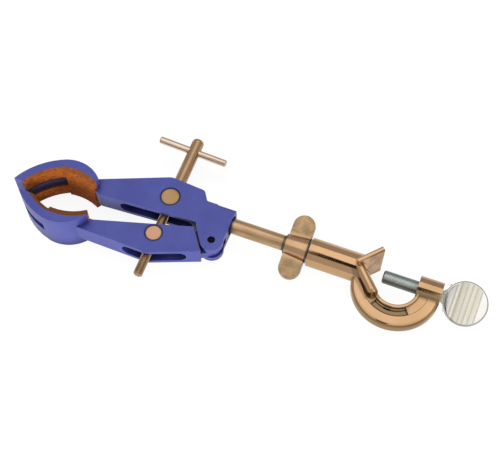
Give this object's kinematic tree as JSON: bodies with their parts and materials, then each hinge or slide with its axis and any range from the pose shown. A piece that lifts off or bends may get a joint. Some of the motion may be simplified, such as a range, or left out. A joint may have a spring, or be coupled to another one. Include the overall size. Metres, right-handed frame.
{
  "type": "boss head clamp",
  "caption": "Retort clamp with a swivelling boss head: cork-lined jaws closed by a screw, on a rod held by a V and hook head with a thumb screw.",
  "frame": {"origin": "axis of the stand rod seated in the V, at the height of the swivel rod", "axes": "+X along the swivel rod from the jaws to the thumb screw, +Z along the stand rod, +Y towards the tommy bar"},
  "size_m": [0.3053, 0.106, 0.0296],
  "materials": {
    "plated": "yellow plated, polished",
    "paint": "satin powder coat",
    "cork": "mottled cork",
    "zinc": "bright zinc",
    "dark_steel": "black oxide"
  },
  "bodies": {
    "boss": {"boss_head": "plated"},
    "clamp_frame": {"support_rod": "plated", "fixed_jaw_arm": "paint", "fixed_jaw_cork": "cork", "pivot_pin": "dark_steel"},
    "lock_nut": {"wing_nut": "plated"},
    "thumb_screw": {"clamp_screw": "zinc"},
    "moving_jaw": {"moving_jaw_arm": "paint", "moving_jaw_cork": "cork"},
    "upper_barrel": {"upper_trunnion": "plated"},
    "lower_barrel": {"lower_trunnion": "plated"},
    "closing_screw": {"adjusting_screw": "plated", "tommy_bar": "plated", "retaining_ring": "dark_steel"}
  },
  "joints": [
    {"name": "swivel_turn", "type": "hinge", "parent": "boss", "child": "clamp_frame", "pos_m": [-0.03, 0, 0], "axis": [1, 0, 0], "continuous": true},
    {"name": "nut_turn", "type": "hinge", "parent": "clamp_frame", "child": "lock_nut", "pos_m": [-0.0508, 0, 0], "axis": [1, 0, 0], "continuous": true},
    {"name": "thumb_slide", "type": "slide", "parent": "boss", "child": "thumb_screw", "axis": [1, 0, 0], "range_m": [-0.0005, 0.02]},
    {"name": "upper_barrel_turn", "type": "hinge", "parent": "clamp_frame", "child": "upper_barrel", "pos_m": [-0.1378, 0.0022, 0], "axis": [0, 0, 1], "range_deg": [-0.95, 8.6]},
    {"name": "screw_turn", "type": "hinge", "parent": "upper_barrel", "child": "closing_screw", "pos_m": [-0.1378, 0.0022, 0], "axis": [-0.0214, 0.9998, 0], "range_deg": [-540, 5430]},
    {"name": "jaw_turn", "type": "hinge", "parent": "clamp_frame", "child": "moving_jaw", "pos_m": [-0.1016, -0.0176, 0], "axis": [0, 0, 1], "range_deg": [-2.6, 25.1]},
    {"name": "lower_barrel_turn", "type": "hinge", "parent": "moving_jaw", "child": "lower_barrel", "pos_m": [-0.1372, -0.0258, 0], "axis": [0, 0, 1], "range_deg": [-16.6, 1.75]}
  ],
  "couplings": [
    {"joint": "jaw_turn", "follows": "screw_turn", "ratio": 0.0045977},
    {"joint": "upper_barrel_turn", "follows": "screw_turn", "ratio": 0.0015632},
    {"joint": "lower_barrel_turn", "follows": "screw_turn", "ratio": -0.0030345}
  ]
}
